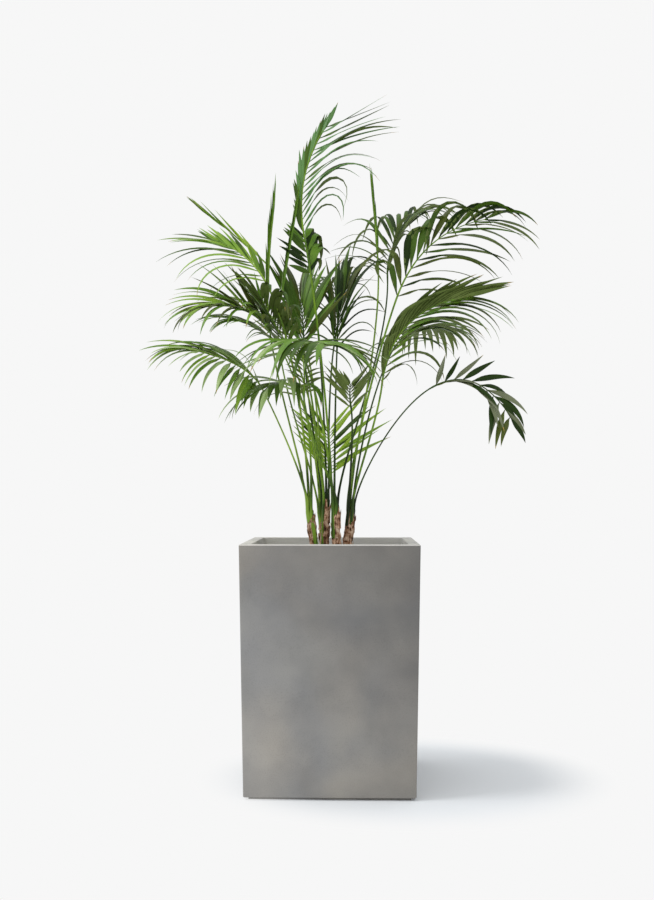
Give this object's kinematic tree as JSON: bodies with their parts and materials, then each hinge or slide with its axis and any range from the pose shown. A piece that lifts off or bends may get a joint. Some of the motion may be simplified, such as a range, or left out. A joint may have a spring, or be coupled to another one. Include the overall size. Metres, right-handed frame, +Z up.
{
  "type": "potted kentia palm",
  "caption": "Kentia palm with a clump of slim stems, arching feather fronds and unopened spears, growing in a tall square tapered planter filled with soil.",
  "frame": {"origin": "middle of the planter's flat underside", "axes": "+Z up along the plant's height, -Y towards the front, +X to the viewer's right"},
  "size_m": [1.01, 0.8415, 1.7481],
  "materials": {
    "planter": "matt cement grey",
    "soil": "dark loose potting soil",
    "stem": "fibrous brown sheath",
    "petiole": "smooth yellow-green",
    "frond": "satin dark green",
    "spear": "satin light green"
  },
  "bodies": {
    "root": {"planter": "planter", "soil": "soil", "stem_a": "stem", "stem_b": "stem", "stem_c": "stem", "stem_d": "stem", "stem_e": "stem", "petiole_back": "petiole", "petiole_back_left": "petiole", "petiole_back_right": "petiole", "petiole_centre": "petiole", "petiole_centre_left": "petiole", "petiole_centre_right": "petiole", "petiole_comb": "petiole", "petiole_front": "petiole", "petiole_front_left": "petiole", "petiole_inner_right": "petiole", "petiole_inner_top": "petiole", "petiole_light_left": "petiole", "petiole_low_front": "petiole", "petiole_low_left": "petiole", "petiole_low_right": "petiole", "petiole_middle_left": "petiole", "petiole_middle_right": "petiole", "petiole_right_front": "petiole", "petiole_spear_left": "petiole", "petiole_spear_middle": "petiole", "petiole_spear_right": "petiole", "petiole_top": "petiole", "petiole_under_left": "petiole", "petiole_upper_left": "petiole", "petiole_upper_right": "petiole", "frond_back": "frond", "frond_back_left": "frond", "frond_back_right": "frond", "frond_centre": "frond", "frond_centre_left": "frond", "frond_centre_right": "frond", "frond_comb": "frond", "frond_front": "frond", "frond_front_left_inner": "frond", "frond_front_left_outer": "frond", "frond_inner_right": "frond", "frond_inner_top": "frond", "frond_light_left": "frond", "frond_low_front": "frond", "frond_low_left": "frond", "frond_low_right_inner": "frond", "frond_low_right_outer": "frond", "frond_middle_left": "frond", "frond_middle_right_inner": "frond", "frond_middle_right_outer": "frond", "frond_right_front": "frond", "frond_top": "frond", "frond_under_left": "frond", "frond_upper_left": "frond", "frond_upper_right": "frond", "spear_left": "spear", "spear_middle": "spear", "spear_right": "spear"}
  },
  "joints": []
}
